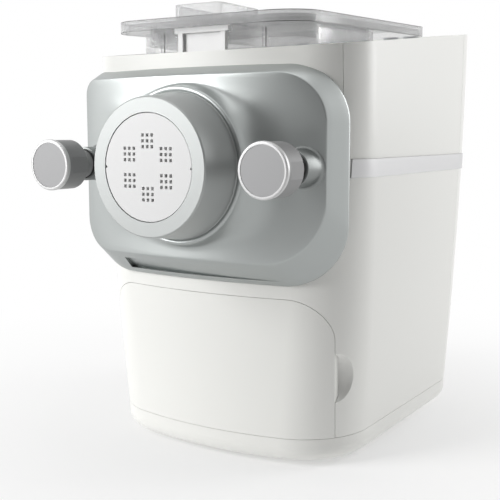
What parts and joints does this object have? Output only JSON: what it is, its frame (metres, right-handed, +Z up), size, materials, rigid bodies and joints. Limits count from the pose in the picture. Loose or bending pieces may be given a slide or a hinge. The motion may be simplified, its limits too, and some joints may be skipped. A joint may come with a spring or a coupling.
{
  "type": "electric pasta maker",
  "caption": "Counter-top electric pasta maker: a rounded body with a screw-fed extrusion nozzle, two clamp knobs, a clear-lidded mixing tub and a pull-out drawer.",
  "frame": {"origin": "on the floor under the middle of the machine's outer box", "axes": "+Z up; the nozzle faces -Y and the rear wall +Y; +X is to the right as seen from the front"},
  "size_m": [0.242, 0.35, 0.3475],
  "materials": {
    "body_white": "gloss moulded, warm white",
    "inner_plastic": "moulded, matt",
    "panel_silver": "fine silver paint, satin",
    "ring_silver": "satin silver",
    "white_plastic": "white, semi-gloss",
    "clear_plastic": "clear polycarbonate",
    "knob_grey": "satin grey",
    "knob_rim": "bright",
    "black_rubber": "soft, matt",
    "band_silver": "satin",
    "steel": "machined",
    "magnet_grey": "sintered",
    "motor_steel": "plated",
    "gear_nylon": "nylon",
    "bronze": "sintered bush",
    "board_green": "circuit board",
    "display_black": "dark window",
    "button_grey": "satin"
  },
  "bodies": {
    "housing": {"base_tray": "body_white", "rubber_feet": "black_rubber", "base_screws": "steel", "side_housing": "body_white", "front_frame": "body_white", "rear_cover": "body_white", "rear_cover_screws": "steel", "cord_bush": "black_rubber", "top_deck": "body_white", "trim_band": "band_silver", "inner_frame": "inner_plastic", "mounting_rods": "steel", "rod_nuts": "steel", "drawer_runners": "inner_plastic", "mixing_chamber": "clear_plastic", "shaft_seal": "black_rubber", "chamber_clip": "white_plastic", "idler_axle": "steel", "gearbox_housing": "inner_plastic", "gearbox_cover": "inner_plastic", "shaft_bearings": "bronze", "motor_housing": "motor_steel", "motor_bearings": "bronze", "motor_magnets": "magnet_grey", "power_board": "board_green", "control_fascia": "panel_silver", "display_window": "display_black", "control_board": "board_green", "lid_switch": "inner_plastic"},
    "panel": {"front_panel": "panel_silver", "extrusion_tube": "white_plastic", "shaping_disc": "white_plastic"},
    "ring": {"nozzle_ring": "ring_silver"},
    "knob_left": {"knob_body_left": "knob_grey", "knob_rim_left": "knob_rim", "knob_cap_left": "knob_grey", "knob_insert_left": "steel", "knob_washer_left": "black_rubber"},
    "knob_right": {"knob_body_right": "knob_grey", "knob_rim_right": "knob_rim", "knob_cap_right": "knob_grey", "knob_insert_right": "steel", "knob_washer_right": "black_rubber"},
    "drive": {"drive_shaft": "steel", "extruding_screw": "white_plastic", "mixing_paddle": "white_plastic", "output_gear": "gear_nylon"},
    "idler": {"idler_gear": "gear_nylon"},
    "motor": {"motor_rotor": "steel", "motor_pinion": "steel", "cooling_fan": "inner_plastic"},
    "lid": {"lid": "clear_plastic"},
    "drawer": {"drawer_front": "body_white", "drawer_tray": "body_white", "spare_discs": "white_plastic"},
    "power_key": {"power_button": "button_grey"},
    "start_key": {"start_button": "button_grey"},
    "menu_down_key": {"menu_down_button": "button_grey"},
    "menu_up_key": {"menu_up_button": "button_grey"}
  },
  "joints": [
    {"name": "panel_pull", "type": "slide", "parent": "housing", "child": "panel", "axis": [0, -1, 0], "range_m": [0, 0.13]},
    {"name": "ring_turn", "type": "hinge", "parent": "panel", "child": "ring", "pos_m": [0, -0.15, 0.225], "axis": [0, 1, 0], "range_deg": [0, 60]},
    {"name": "knob_left_turn", "type": "hinge", "parent": "panel", "child": "knob_left", "pos_m": [-0.0928, 0, 0.225], "axis": [0, 1, 0], "continuous": true},
    {"name": "knob_right_turn", "type": "hinge", "parent": "panel", "child": "knob_right", "pos_m": [0.0928, 0, 0.225], "axis": [0, 1, 0], "continuous": true},
    {"name": "drive_turn", "type": "hinge", "parent": "housing", "child": "drive", "pos_m": [0, 0, 0.225], "axis": [0, 1, 0], "continuous": true},
    {"name": "idler_turn", "type": "hinge", "parent": "housing", "child": "idler", "pos_m": [0, 0, 0.157], "axis": [0, 1, 0], "continuous": true},
    {"name": "motor_turn", "type": "hinge", "parent": "housing", "child": "motor", "pos_m": [0, 0, 0.103], "axis": [0, 1, 0], "continuous": true},
    {"name": "lid_lift", "type": "slide", "parent": "housing", "child": "lid", "axis": [0, 0, 1], "range_m": [0, 0.12]},
    {"name": "drawer_slide", "type": "slide", "parent": "housing", "child": "drawer", "axis": [0, -1, 0], "range_m": [0, 0.09]},
    {"name": "power_press", "type": "slide", "parent": "housing", "child": "power_key", "axis": [0, 0.1097, -0.994], "range_m": [0, 0.001], "stiffness_N_per_m": 200},
    {"name": "start_press", "type": "slide", "parent": "housing", "child": "start_key", "axis": [0, 0.1097, -0.994], "range_m": [0, 0.001], "stiffness_N_per_m": 200},
    {"name": "menu_down_press", "type": "slide", "parent": "housing", "child": "menu_down_key", "axis": [0, 0.1097, -0.994], "range_m": [0, 0.001], "stiffness_N_per_m": 200},
    {"name": "menu_up_press", "type": "slide", "parent": "housing", "child": "menu_up_key", "axis": [0, 0.1097, -0.994], "range_m": [0, 0.001], "stiffness_N_per_m": 200}
  ],
  "couplings": [
    {"joint": "idler_turn", "follows": "drive_turn", "ratio": -4.6667},
    {"joint": "motor_turn", "follows": "drive_turn", "ratio": 23.333}
  ]
}
